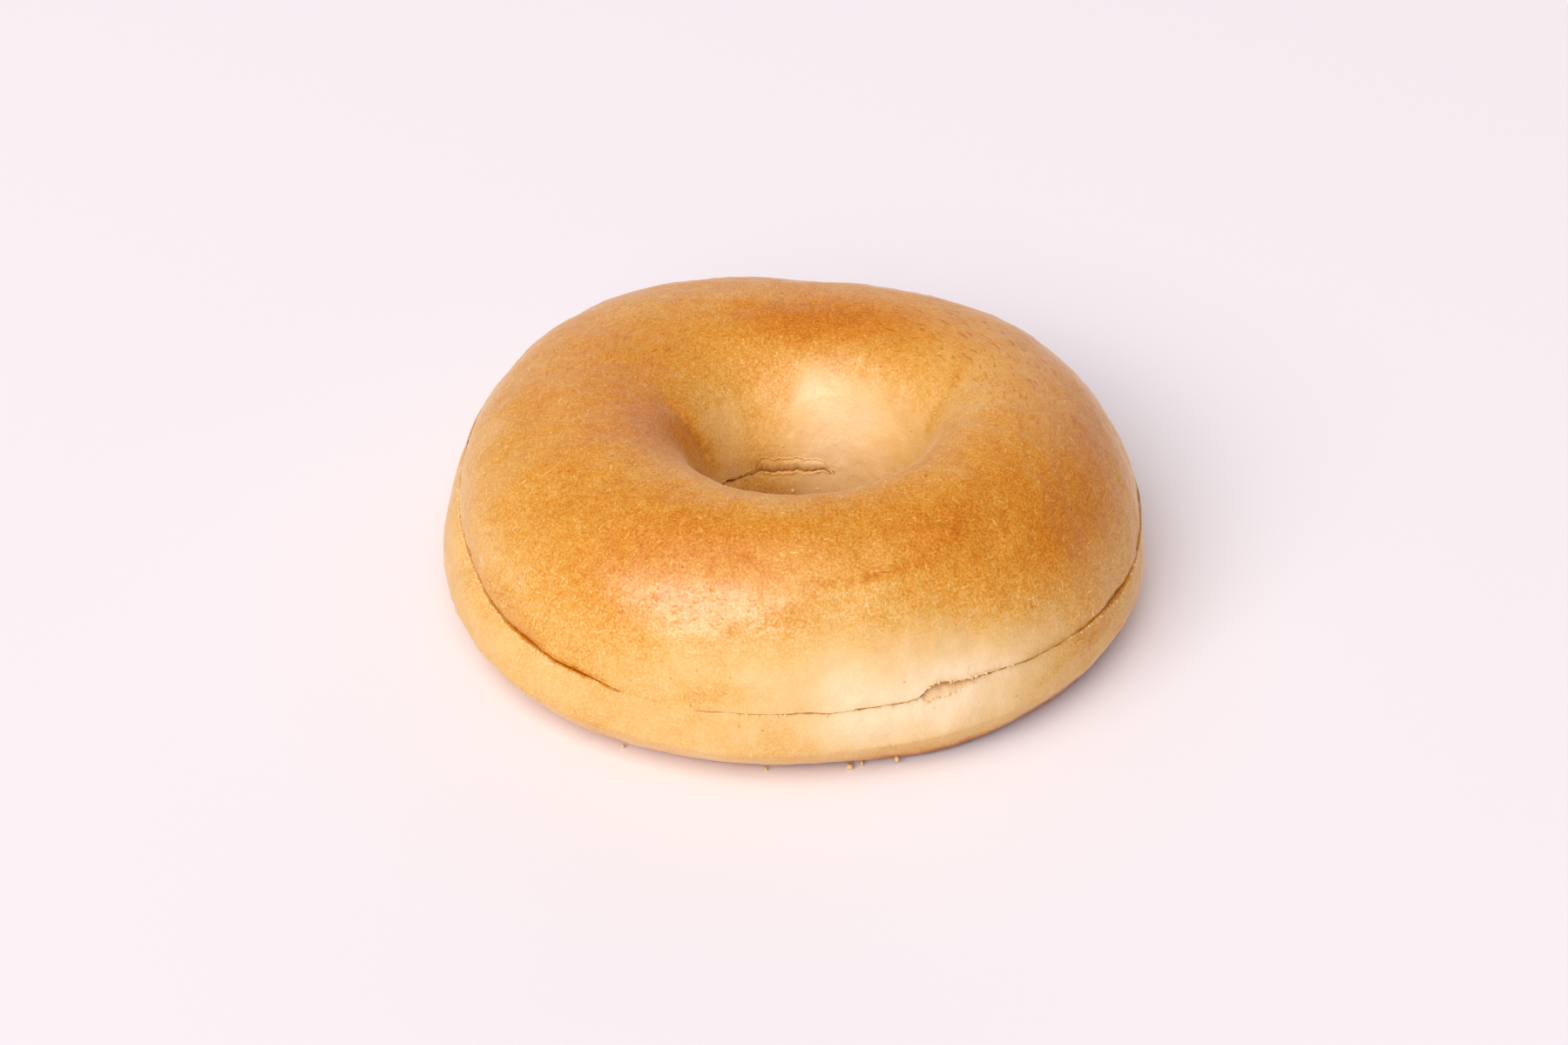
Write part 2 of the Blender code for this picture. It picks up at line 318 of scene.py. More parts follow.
def measure_ring(angle):
    """The sizes of the section at each angle."""
    ring = SimpleNamespace(angle=angle)
    ring.outer = round_ring(angle, OUTER_RADIUS, OUTER_WAVES)
    mean = distance_to_circle(angle, HOLE_RADIUS, HOLE_CENTRE)
    hole_x, hole_y = mean * np.cos(angle) - HOLE_CENTRE[0], mean * np.sin(angle) - HOLE_CENTRE[1]
    ring.hole_angle = np.arctan2(hole_y, hole_x)
    hole_radius = round_ring(ring.hole_angle, HOLE_RADIUS, HOLE_WAVES)
    ring.inner = distance_to_circle(angle, hole_radius, HOLE_CENTRE)
    ring.height = round_ring(angle, CREST_HEIGHT, CREST_WAVES)
    ring.crest = ring.inner + round_ring(angle, CREST_SHARE, CREST_SHARE_WAVES) * (ring.outer - ring.inner)
    ring.fullness = round_ring(angle, FUNNEL_FULLNESS, FUNNEL_FULLNESS_WAVES)
    bridge_turn = abs(turn_between(angle, sum(BRIDGE) / 2.0)) - (BRIDGE[1] - BRIDGE[0]) / 2.0
    ring.cut = ease(bridge_turn / BRIDGE_TAPER)
    rise, direction, width, fade = SLIT_STEP
    step_turn = turn_between(angle, direction)
    step = rise / 2.0 * np.tanh(step_turn / width) * np.exp(-abs(step_turn) / fade)
    ring.slit = round_ring(angle, SLIT_HEIGHT, SLIT_WOBBLE) + SLIT_TILT * np.sin(angle) + step
    ring.slit = ring.slit + bumps(angle, SLIT_SHIFTS)
    half_gap = UNCUT_GAP * (1.0 - ring.cut) + ring.cut * (CLOSED_GAP + bumps(angle, OPEN_GAPS)) / 2.0
    ring.outer_tear = np.interp(np.degrees(angle) % 360.0, *OUTER_TEAR)
    ring.hole_tear = np.interp(np.degrees(ring.hole_angle) % 360.0, *HOLE_TEAR)
    ring.upper_lip = ring.slit + half_gap
    ring.lower_lip = ring.slit - half_gap + ring.cut * round_ring(angle, 0.0, TOOTH_WAVES) - ring.outer_tear
    hole_turn = (HOLE_CUT[1] - HOLE_CUT[0]) / 2.0 - abs(turn_between(ring.hole_angle, sum(HOLE_CUT) / 2.0))
    ring.hole_cut = ease(hole_turn / HOLE_CUT_TAPER)
    half_hole_gap = (HOLE_GAP + bumps(ring.hole_angle, HOLE_OPENINGS)) / 2.0
    ring.upper_hole_lip = ring.slit + half_hole_gap + ring.hole_tear
    ring.lower_hole_lip = ring.slit - half_hole_gap
    ring.lift = bumps(angle, FOOT_LIFTS)
    ring.foot_margin = FOOT_OUTER_MARGIN - LIFT_NARROWING * ring.lift - bumps(angle, FOOT_SPREADS)
    return ring


def outline(ring, turn):
    """The radius and height of the uncut section. A turn of 0 is outward, 90 up, 180 the hole, 270 down."""
    turn = turn % 360.0
    quarter = np.minimum(turn // 90.0, 3.0).astype(int)
    inner_foot, outer_foot = ring.inner + FOOT_INNER_MARGIN, ring.outer - ring.foot_margin
    centre = np.choose(quarter, (ring.crest, ring.crest, inner_foot, outer_foot))
    level = np.choose(quarter, (WIDEST_HEIGHT, THROAT_HEIGHT, THROAT_HEIGHT, WIDEST_HEIGHT))
    reaches = (ring.outer - ring.crest, ring.crest - ring.inner, FOOT_INNER_MARGIN, ring.foot_margin)
    foot_rise = WIDEST_HEIGHT - ring.lift
    rises = (ring.height - WIDEST_HEIGHT, ring.height - THROAT_HEIGHT, THROAT_HEIGHT, foot_rise)
    fullnesses = (OUTER_TOP_FULLNESS, ring.fullness, INNER_FOOT_FULLNESS, OUTER_FOOT_FULLNESS)
    power = 2.0 / np.choose(quarter, fullnesses)
    cosine, sine = np.cos(np.radians(turn)), np.sin(np.radians(turn))
    radius = centre + np.choose(quarter, reaches) * np.sign(cosine) * abs(cosine) ** power
    height = level + np.choose(quarter, rises) * np.sign(sine) * abs(sine) ** power
    return radius, np.maximum(height, 0.0)


def turn_at(ring, height, in_hole):
    """The turn where the side, or the wall of the hole, has this height."""
    level = THROAT_HEIGHT if in_hole else WIDEST_HEIGHT
    fullness = ring.fullness if in_hole else OUTER_TOP_FULLNESS
    turn = np.degrees(np.arcsin(((height - level) / (ring.height - level)) ** (fullness / 2.0)))
    return 180.0 - turn if in_hole else turn


def upper_half(ring, turn):
    """A point of the upper half: it is drawn in towards the slit, and its very edge rolls under."""
    radius, height = outline(ring, turn)
    outside = np.where(turn < 90.0, 1.0, 0.0)
    above = np.maximum(height - np.where(turn < 90.0, ring.upper_lip, ring.upper_hole_lip), 0.0)
    roll = bumps(ring.angle, LIP_ROLLS) * np.exp(-above / LIP_ROLL_FADE)
    side_tuck = bumps(ring.angle, UPPER_TUCKS) * np.exp(-above / UPPER_TUCK_FADE)
    return radius - outside * ring.cut * (side_tuck + roll) + (1.0 - outside) * ring.hole_cut * roll, height


def lower_half(ring, turn):
    """A point of the lower half: it is drawn in towards the slit, and its edge in the hole is round."""
    radius, height = outline(ring, turn)
    outside = np.where(turn > 270.0, 1.0, 0.0)
    below = np.maximum(np.where(turn > 270.0, ring.lower_lip, ring.lower_hole_lip) - height, 0.0)
    side_tuck = ring.cut * np.exp(-below / LOWER_TUCK_FADE) * bumps(ring.angle, LOWER_TUCKS)
    rounding = ring.hole_cut * np.exp(-below / LIP_ROLL_FADE) * bumps(ring.hole_angle, HOLE_ROUNDINGS)
    return radius - outside * side_tuck + (1.0 - outside) * rounding, height


def spaced_rows(ring, half, first, last, rows, lips):
    """Rows of points from one turn to another, closest together at the lips: at 0, at 1 or at both."""
    trace = first + (last - first) * np.linspace(0.0, 1.0, TRACE_POINTS)
    radius, height = half(ring, trace)
    steps = np.hypot(np.diff(radius, axis=1), np.diff(height, axis=1))
    length = np.concatenate([np.zeros_like(steps[:, :1]), np.cumsum(steps, axis=1)], axis=1)
    whole = length[:, -1:]
    from_lip = np.minimum(length if 0 in lips else whole, whole - length if 1 in lips else whole)
    coarse = whole / rows * COARSE_SHARE
    spacing = LIP_SPACING + (coarse - LIP_SPACING) * ease(from_lip / LIP_REACH)
    density = (1.0 / spacing[:, 1:] + 1.0 / spacing[:, :-1]) / 2.0 * steps
    count = np.concatenate([np.zeros_like(steps[:, :1]), np.cumsum(density, axis=1)], axis=1)
    wanted = np.linspace(0.0, 1.0, rows)
    turn = np.array([np.interp(wanted * c[-1], c, t) for c, t in zip(count, trace)])
    return *half(ring, turn), turn


# The way into the slit from each lip, as (share of the depth of the torn edge, share of its height)
OUTER_UPPER_WAY = ((0.6, 0.0), (1.0, 0.7))
OUTER_LOWER_WAY = ((0.12, 0.15), (0.40, 0.45), (0.70, 0.75), (1.0, 1.0))
HOLE_UPPER_WAY = ((0.50, 0.04), (0.50, 0.11), (0.20, 0.15), (0.22, 0.50), (0.40, 0.92), (1.0, 1.0))
HOLE_LOWER_WAY = ((0.4, 0.0), (1.0, 0.0))
OUTER_EDGE_DEPTH = 1.0
HOLE_EDGE_DEPTH = 0.9


def way_in(lip_radius, lip_height, deep_radius, deep_height, way):
    """Rows of points from a lip to the closed part of the slit."""
    across = np.array([share for share, _ in way])[None, :]
    along = np.array([share for _, share in way])[None, :]
    return lip_radius + (deep_radius - lip_radius) * across, lip_height + (deep_height - lip_height) * along


def laid_flush(rows, before, after, cut):
    """The rows of a slit, laid side by side on the skin between two points where the bread is uncut."""
    share = np.linspace(0.0, 1.0, rows.shape[1] + 2)[None, 1:-1]
    flush = before + (after - before) * share
    return flush + (rows - flush) * cut


def bread_rows(ring):
    """The radius, height, turn and kind of every point: a row for each section, in order round the rope."""
    upper_out, lower_out = turn_at(ring, ring.upper_lip, False), turn_at(ring, ring.lower_lip, False)
    upper_in, lower_in = turn_at(ring, ring.upper_hole_lip, True), turn_at(ring, ring.lower_hole_lip, True)
    top = spaced_rows(ring, upper_half, upper_out, upper_in, TOP_ROWS, (0, 1))
    foot_in, foot_out = (np.full_like(lower_in, foot_turn) for foot_turn in FOOT_TURNS)
    wall = spaced_rows(ring, lower_half, lower_in, foot_in, LOWER_INNER_ROWS, (0,))
    side = spaced_rows(ring, lower_half, foot_out, 360.0 + lower_out, LOWER_OUTER_ROWS, (1,))
    share = np.linspace(0.0, 1.0, FOOT_ROWS + 2)[None, 1:-1]
    foot = [wall[part][:, -1:] + (side[part][:, :1] - wall[part][:, -1:]) * share for part in (0, 1)]

    # The faces of the slit: the lower face from its lip to the end of the cut, and back along the upper
    out_edge = np.minimum(top[0][:, :1], side[0][:, -1:]) - OUTER_EDGE_DEPTH - TEAR_DEPTH * ring.outer_tear
    in_edge = np.maximum(top[0][:, -1:], wall[0][:, :1]) + HOLE_EDGE_DEPTH
    out_upper = way_in(top[0][:, :1], top[1][:, :1], out_edge, ring.slit + CLOSED_HALF, OUTER_UPPER_WAY)
    out_lower = way_in(side[0][:, -1:], side[1][:, -1:], out_edge, ring.slit - CLOSED_HALF, OUTER_LOWER_WAY)
    in_upper = way_in(top[0][:, -1:], top[1][:, -1:], in_edge, ring.slit + CLOSED_HALF, HOLE_UPPER_WAY)
    in_lower = way_in(wall[0][:, :1], wall[1][:, :1], in_edge, ring.slit - CLOSED_HALF, HOLE_LOWER_WAY)
    out_end = out_edge - OUTER_SLIT_DEPTH + OUTER_EDGE_DEPTH, ring.slit
    in_end = in_edge + HOLE_SLIT_DEPTH - HOLE_EDGE_DEPTH, ring.slit
    parts = []
    for part in (0, 1):
        outer = np.concatenate([out_lower[part], out_end[part], out_upper[part][:, ::-1]], axis=1)
        outer = laid_flush(outer, side[part][:, -1:], top[part][:, :1], ring.cut)
        hole = np.concatenate([in_upper[part], in_end[part], in_lower[part][:, ::-1]], axis=1)
        hole = laid_flush(hole, top[part][:, -1:], wall[part][:, :1], ring.hole_cut)
        parts.append(np.concatenate([outer, top[part], hole, wall[part], foot[part], side[part]], axis=1))
    outer_share = np.linspace(0.0, 1.0, outer.shape[1] + 2)[None, 1:-1]
    hole_share = np.linspace(0.0, 1.0, hole.shape[1] + 2)[None, 1:-1]
    outer_turn = lower_out + (upper_out - lower_out) * outer_share
    hole_turn = upper_in + (lower_in - upper_in) * hole_share
    turns = [outer_turn, top[2], hole_turn, wall[2], np.full_like(foot[0], 270.0), side[2]]
    return *parts, np.concatenate(turns, axis=1)


def surface_normals(points):
    """The outward normals of a grid of points that closes both ways."""
    round_way = np.roll(points, -1, axis=0) - np.roll(points, 1, axis=0)
    row_way = np.roll(points, -1, axis=1) - np.roll(points, 1, axis=1)
    normals = np.cross(round_way, row_way)
    return normals / np.maximum(np.linalg.norm(normals, axis=-1, keepdims=True), 1e-9)


def roughness_field(points, size, octaves, shift):
    """Smooth random values from about -1 to 1 at the points, with features of that size in millimetres."""
    offset = Vector([shift * step for step in NOISE_STEPS])
    flat = points.reshape(-1, 3) / size
    values = [noise.fractal(Vector(place) + offset, 1.0, 2.0, octaves) for place in flat]
    return np.array(values).reshape(points.shape[:-1])


def put_values(mesh, name, values):
    """Stores a number, or a place in space, on every point of a mesh."""
    kind, key = ("FLOAT_VECTOR", "vector") if values.ndim == 3 else ("FLOAT", "value")
    mesh.attributes.new(name, kind, "POINT").data.foreach_set(key, values.astype(np.float32).ravel())


def patches(angle, turn, places):
    """The sum of soft patches, each (direction, spread, turn, spread, amount), in degrees."""
    total = np.zeros_like(turn)
    for direction, spread, at_turn, turn_spread, amount in places:
        away = (turn_between(angle, direction) / spread) ** 2 + ((turn - at_turn) / turn_spread) ** 2
        total += amount * np.exp(-away)
    return total


def distance_to_path(points, path):
    """The distance of every point from a line of straight runs, and how far along it, from 0 to 1."""
    nearest = np.full(points.shape[:-1], 1e9)
    along = np.zeros(points.shape[:-1])
    runs = len(path) - 1
    for number, (start, end) in enumerate(zip(path[:-1], path[1:])):
        start, way = np.array(start), np.array(end) - np.array(start)
        share = np.clip((points - start) @ way / (way @ way), 0.0, 1.0)
        distance = np.linalg.norm(points - (start + share[..., None] * way), axis=-1)
        closer = distance < nearest
        nearest = np.where(closer, distance, nearest)
        along = np.where(closer, (number + share) / runs, along)
    return nearest, along


around = np.linspace(0.0, 2.0 * math.pi, SECTIONS, endpoint=False)[:, None]
ring = measure_ring(around - SECTION_CROWDING * np.cos(around))
radius, height, turn = bread_rows(ring)

# The kinds of row: the faces of the outer slit, the top, the faces of the hole's slit, and the rest
outer_faces = len(OUTER_LOWER_WAY) + 1 + len(OUTER_UPPER_WAY)
hole_faces = outer_faces + TOP_ROWS
lower_skin = hole_faces + len(HOLE_UPPER_WAY) + 1 + len(HOLE_LOWER_WAY)
row = np.arange(radius.shape[1])[None, :]
in_outer_slit = (row < outer_faces) * ring.cut
in_hole_slit = ((row >= hole_faces) & (row < lower_skin)) * ring.hole_cut
skin = 1.0 - in_outer_slit - in_hole_slit
torn = in_outer_slit * (row < len(OUTER_LOWER_WAY)) * np.clip(ring.outer_tear / TEAR_BLEND, 0.0, 1.0)
torn_in_hole = in_hole_slit * (row < hole_faces + TORN_HOLE_ROWS)
torn = torn + torn_in_hole * np.clip(ring.hole_tear / TEAR_BLEND, 0.0, 1.0)

points = np.stack([radius * np.cos(ring.angle), radius * np.sin(ring.angle), height], axis=-1)
normals = surface_normals(points)

# The relief is full on the skin, none at the foot, and ragged on the torn crumb
relief = sum(rise * roughness_field(points, size, octaves, seed) for rise, size, octaves, seed in RELIEFS)
relief = (relief - RELIEF_SINK) * ease(height / FOOT_BLEND) * skin
rag = np.where(row < outer_faces, OUTER_TEAR_RAG, HOLE_TEAR_RAG)
relief = relief + rag * roughness_field(points, TEAR_FEATURE, 2, 9) * torn
for depth, half_width, path in CREASES:
    distance, along = distance_to_path(points, path)
    relief -= depth * np.exp(-((distance / half_width) ** 2)) * np.sin(math.pi * along) * skin
points = points + normals * relief[..., None]
corner_places = points.reshape(-1, 3)
middle = (corner_places.max(axis=0) + corner_places.min(axis=0)) / 2.0
points[..., :2] -= middle[:2]

# The oven's browning, with edges that wander
side_turn = np.where(turn >= 270.0, turn - 360.0, turn)
patch_turn = side_turn + TURN_WANDER * roughness_field(points, WANDER_FEATURE, 3, 4)
sideways = DIRECTION_WANDER * roughness_field(points, WANDER_FEATURE, 3, 5)
patch_angle = ring.angle + np.radians(sideways)
bake = np.interp(patch_turn, *zip(*BAKE_LEVELS))
bake = bake + patches(patch_angle, patch_turn, BAKE_PATCHES)
strength = LINE_LEVEL + LINE_SWING * roughness_field(points, LINE_FEATURE, 2, 6)
for amount, half_width, path in BAKE_LINES:
    distance, along = distance_to_path(points, path)
    bake = bake + amount * np.exp(-((distance / half_width) ** 2)) * strength
for amount, size, octaves, seed in MOTTLES:
    bake = bake + amount * roughness_field(points, size, octaves, seed)
# Painted shade where the upper half rolls under into the slit
lip_height = np.maximum(height - ring.upper_lip, 0.0)
bake = bake + (turn < 90.0) * bumps(ring.angle, PAINTED_LIP_SHADE) * np.exp(-lip_height / PAINTED_LIP_SHADE_FADE)

# Painted shade in the slit: its faces darken from its edges inwards, most where the gap is open, but for
# the torn crumb
face_depth = np.ones(radius.shape[1])
face_depth[:len(OUTER_LOWER_WAY)] = [share for share, _ in OUTER_LOWER_WAY]
face_depth[hole_faces:hole_faces + len(HOLE_UPPER_WAY)] = [share for share, _ in HOLE_UPPER_WAY]
face_depth[lower_skin - len(HOLE_LOWER_WAY):lower_skin] = [share for share, _ in HOLE_LOWER_WAY[::-1]]
openness = np.clip(bumps(ring.angle, OPEN_GAPS) / OPEN_GAP, 0.0, 1.0)
deep_shade = CLOSED_SHADE + (OPEN_SHADE - CLOSED_SHADE) * openness
deep_shade = np.where(row < outer_faces, deep_shade, HOLE_SHADE)
lip_shade = np.where(row < outer_faces, FACE_SHADE, HOLE_FACE_SHADE)
darkening = face_depth ** np.where(row < outer_faces, OUTER_SHADE_POWER, HOLE_SHADE_POWER)
slit_shade = lip_shade + (deep_shade - lip_shade) * darkening
# Painted shade: the torn crumb outside darkens the deeper it lies under the lip; in the hole it keeps the
# skin's colour
outer_torn_shade = TORN_SHADE + (TORN_DEEP_SHADE - TORN_SHADE) * face_depth ** 2
torn_shade = np.where(row < outer_faces, outer_torn_shade, bake)
slit_shade = slit_shade + (torn_shade - slit_shade) * torn
bake = bake * skin + slit_shade * (1.0 - skin)
gloss = np.clip(patches(patch_angle, patch_turn, GLOSS_PATCHES), 0.0, 1.0) * skin
stretch_marks = patches(patch_angle, patch_turn, STRETCHED_PATCHES) * skin

# Where each point lies on the rope: round the ring, and along the skin from the outer slit
steps = np.linalg.norm(np.diff(points, axis=1), axis=-1)
along_skin = np.concatenate([np.zeros((SECTIONS, 1)), np.cumsum(steps, axis=1)], axis=1)
rope_x = OUTER_RADIUS * ROPE_MIDDLE * np.cos(ring.angle)
rope_y = OUTER_RADIUS * ROPE_MIDDLE * np.sin(ring.angle)
grain = np.stack(np.broadcast_arrays(rope_x, rope_y, along_skin), axis=-1)

corner = np.arange(points[..., 0].size).reshape(points.shape[:2])
next_row = np.roll(corner, -1, axis=1)
faces = np.stack([corner, np.roll(corner, -1, axis=0), np.roll(next_row, -1, axis=0), next_row], axis=-1)
mesh = bpy.data.meshes.new("bread")
mesh.from_pydata((points * MM).reshape(-1, 3).tolist(), [], faces.reshape(-1, 4).tolist())
bread = bpy.data.objects.new("bread", mesh)
put_values(mesh, "bake", bake)
put_values(mesh, "gloss", gloss)
put_values(mesh, "stretch_marks", stretch_marks)
put_values(mesh, "grain", grain * MM)
bpy.context.scene.collection.objects.link(bread)
bread.data.shade_smooth()
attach(bread, "root")
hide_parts("bagel")


def add_node(tree, kind, inputs=None, **settings):
    """Adds a node, sets its properties, and sets or links its inputs."""
    made = tree.nodes.new(kind)
    for name, value in settings.items():
        setattr(made, name, value)
    for name, value in (inputs or {}).items():
        if isinstance(value, bpy.types.NodeSocket):
            tree.links.new(value, made.inputs[name])
        else:
            made.inputs[name].default_value = value
    return made


def srgb(code, alpha=1.0):
    """A linear colour from an sRGB hex value."""
    parts = [int(code[place:place + 2], 16) / 255.0 for place in (1, 3, 5)]
    linear = [part / 12.92 if part <= 0.04045 else ((part + 0.055) / 1.055) ** 2.4 for part in parts]
    return (*linear, alpha)


def new_material(name):
    """An empty material with its own tree, and the tree's output node."""
    material = bpy.data.materials.new(name)
    material.use_nodes = True
    material.node_tree.nodes.clear()
    return material, material.node_tree, add_node(material.node_tree, "ShaderNodeOutputMaterial")


# Baked crust: a boiled skin of gelled starch, browned in the oven. It is matt gold to brown, finely
# grained where it is brown, with pale fibres, dark pin-pricks, and a satin gloss over fine wrinkles.
CRUST_COLOURS = (
    (0.00, "#F8DDB4"),
    (0.20, "#EEC98F"),
    (0.40, "#E3B469"),
    (0.60, "#DA9D3E"),
    (0.80, "#D1871C"),
    (1.00, "#C46E08"),
    # The darkest stop serves the painted shade deep in an open slit and at the rim of the base
    (1.50, "#7A3C0C"),
)
DARKEST = CRUST_COLOURS[-1][0]
baked, tree, output = new_material("baked_crust")
place = add_node(tree, "ShaderNodeTexCoord").outputs["Object"]
bake_level = add_node(tree, "ShaderNodeAttribute", attribute_name="bake").outputs["Fac"]
gloss_level = add_node(tree, "ShaderNodeAttribute", attribute_name="gloss").outputs["Fac"]
rope_place = add_node(tree, "ShaderNodeAttribute", attribute_name="grain").outputs["Vector"]

# The grain: soft mottling and sharper speckles
mottle = add_node(tree, "ShaderNodeTexNoise", {
    "Vector": place,
    "Scale": 1.0 / (1.4 * MM),
    "Detail": 3.0,
})
speckle = add_node(tree, "ShaderNodeTexNoise", {
    "Vector": place,
    "Scale": 1.0 / (0.38 * MM),
    "Detail": 2.0,
    "Roughness": 0.7,
})
coarse = add_node(tree, "ShaderNodeMath", {
    0: mottle.outputs["Fac"],
    1: 0.34,
    2: -0.17,
}, operation="MULTIPLY_ADD")
fine = add_node(tree, "ShaderNodeMath", {
    0: speckle.outputs["Fac"],
    1: 1.2,
    2: -0.60,
}, operation="MULTIPLY_ADD")
grain_level = add_node(tree, "ShaderNodeMath", {
    0: coarse.outputs[0],
    1: fine.outputs[0],
}, operation="ADD")

# Short pale fibres of dried dough, which lie over the rope, round it, and across both
FIBRE_WAYS = (
    (rope_place, (3.6 / MM, 3.6 / MM, 0.42 / MM)),
    (rope_place, (0.45 / MM, 0.45 / MM, 3.6 / MM)),
    (place, (3.3 / MM, 0.55 / MM, 3.3 / MM)),
)
thickest = None
for start, scale in FIBRE_WAYS:
    laid = add_node(tree, "ShaderNodeMapping", {"Vector": start, "Scale": scale})
    strand = add_node(tree, "ShaderNodeTexNoise", {
        "Vector": laid.outputs["Vector"],
        "Scale": 1.0,
        "Detail": 1.0,
    })
    thickest = add_node(tree, "ShaderNodeMath", {
        0: strand.outputs["Fac"],
        1: thickest.outputs[0] if thickest else 0.0,
    }, operation="MAXIMUM")
fibre = add_node(tree, "ShaderNodeMapRange", {
    "Value": thickest.outputs[0],
    "From Min": 0.69,
    "From Max": 0.77,
}, interpolation_type="SMOOTHSTEP")

# Dark dashes along the rope, where the skin stretched and tore before it set
stretched = add_node(tree, "ShaderNodeAttribute", attribute_name="stretch_marks").outputs["Fac"]
drawn_out = add_node(tree, "ShaderNodeMapping", {
    "Vector": rope_place,
    "Scale": (0.38 / MM, 0.38 / MM, 2.2 / MM),
})
streak = add_node(tree, "ShaderNodeTexNoise", {
    "Vector": drawn_out.outputs["Vector"],
    "Scale": 1.0,
    "Detail": 1.5,
})
dash = add_node(tree, "ShaderNodeMapRange", {
    "Value": streak.outputs["Fac"],
    "From Min": 0.57,
    "From Max": 0.70,
}, interpolation_type="SMOOTHSTEP")
dash_level = add_node(tree, "ShaderNodeMath", {0: dash.outputs[0], 1: stretched}, operation="MULTIPLY")

# Dark pin-pricks, where steam burst through
cell = add_node(tree, "ShaderNodeTexVoronoi", {"Vector": place, "Scale": 1.0 / (3.2 * MM)})
prick = add_node(tree, "ShaderNodeMapRange", {
    "Value": cell.outputs["Distance"],
    "From Min": 0.04,
    "From Max": 0.09,
    "To Min": 0.30,
    "To Max": 0.0,
}, interpolation_type="SMOOTHSTEP")

# The grain and fibres show the more the browner the skin is, and half as much where it is stretched
marks = add_node(tree, "ShaderNodeMath", {
    0: fibre.outputs[0],
    1: -0.35,
    2: grain_level.outputs[0],
}, operation="MULTIPLY_ADD")
browned = add_node(tree, "ShaderNodeMapRange", {
    "Value": bake_level,
    "From Min": 0.24,
    "From Max": 0.64,
    "To Min": 0.15,
    "To Max": 1.0,
}, interpolation_type="SMOOTHSTEP")
smoothed = add_node(tree, "ShaderNodeMath", {0: stretched, 1: -0.5, 2: 1.0}, operation="MULTIPLY_ADD")
showing = add_node(tree, "ShaderNodeMath", {
    0: browned.outputs[0],
    1: smoothed.outputs[0],
}, operation="MULTIPLY")
with_marks = add_node(tree, "ShaderNodeMath", {
    0: marks.outputs[0],
    1: showing.outputs[0],
    2: bake_level,
}, operation="MULTIPLY_ADD")
with_dashes = add_node(tree, "ShaderNodeMath", {
    0: dash_level.outputs[0],
    1: 0.42,
    2: with_marks.outputs[0],
}, operation="MULTIPLY_ADD")
with_pricks = add_node(tree, "ShaderNodeMath", {
    0: with_dashes.outputs[0],
    1: prick.outputs[0],
}, operation="ADD")
ramp_place = add_node(tree, "ShaderNodeMath", {
    0: with_pricks.outputs[0],
    1: 1.0 / DARKEST,
}, operation="MULTIPLY")
colour = add_node(tree, "ShaderNodeValToRGB", {"Fac": ramp_place.outputs[0]})
while len(colour.color_ramp.elements) < len(CRUST_COLOURS):
    colour.color_ramp.elements.new(0.5)
for stop, (stop_level, code) in zip(colour.color_ramp.elements, CRUST_COLOURS):
    stop.position = stop_level / DARKEST
    stop.color = srgb(code)

# The skin's fine roughness, and the crackled wrinkles that catch the light where it is glossy
pimple = add_node(tree, "ShaderNodeTexNoise", {
    "Vector": place,
    "Scale": 1.0 / (0.55 * MM),
    "Detail": 2.0,
    "Roughness": 0.6,
})
ripple = add_node(tree, "ShaderNodeTexNoise", {"Vector": place, "Scale": 1.0 / (1.3 * MM)})
skin_height = add_node(tree, "ShaderNodeMath", {
    0: ripple.outputs["Fac"],
    1: 1.5,
    2: pimple.outputs["Fac"],
}, operation="MULTIPLY_ADD")
skin_bump = add_node(tree, "ShaderNodeBump", {
    "Height": skin_height.outputs[0],
    "Strength": 0.55,
    "Distance": 0.12 * MM,
})
crackle = add_node(tree, "ShaderNodeTexNoise", {
    "Vector": place,
    "Scale": 1.0 / (1.2 * MM),
    "Detail": 1.0,
    "Distortion": 0.8,
}, noise_type="RIDGED_MULTIFRACTAL")
gloss_bump = add_node(tree, "ShaderNodeBump", {
    "Height": crackle.outputs["Fac"],
    "Strength": 0.8,
    "Distance": 0.28 * MM,
})
crust = add_node(tree, "ShaderNodeBsdfPrincipled", {
    "Base Color": colour.outputs["Color"],
    "Roughness": 0.45,
    "Specular IOR Level": 0.40,
    "Sheen Weight": 0.42,
    "Sheen Roughness": 0.25,
    "Sheen Tint": srgb("#FFE9DC"),
    "Coat Weight": gloss_level,
    "Coat Roughness": 0.16,
    "Normal": skin_bump.outputs["Normal"],
    "Coat Normal": gloss_bump.outputs["Normal"],
})
tree.links.new(crust.outputs["BSDF"], output.inputs["Surface"])
bread.data.materials.append(baked)


# --- The cut crumbs ------------------------------------------------------------------------------
# Grains of pale crumb that the knife pulled out of the bread, dry and soft-edged. They cling all
# along the edge of the slit, thickest at the front left and in the torn notch.

# Sizes in millimetres, and shares by which the grains are stretched and lumpy
GRAIN_RADIUS = (0.10, 0.24)
GRAIN_STRETCH = (0.65, 1.25)
GRAIN_LUMPS = 0.25
# How far they stray from the edge, and how far the slit has to be cut for them to lie there
CLING_SPREAD = 0.09
CUT_ENOUGH = 0.9
SCATTER_SEED = 7
# How many there are: (number, direction, spread, which edge of the slit)
GRAIN_RUNS = (
    (230, 214.0, 17.0, "lower"),
    (40, 190.0, 14.0, "lower"),
    (70, 294.5, 3.0, "lower"),
    (24, 300.0, 4.0, "upper"),
    (60, 322.0, 14.0, "lower"),
    (40, 275.0, 12.0, "lower"),
)


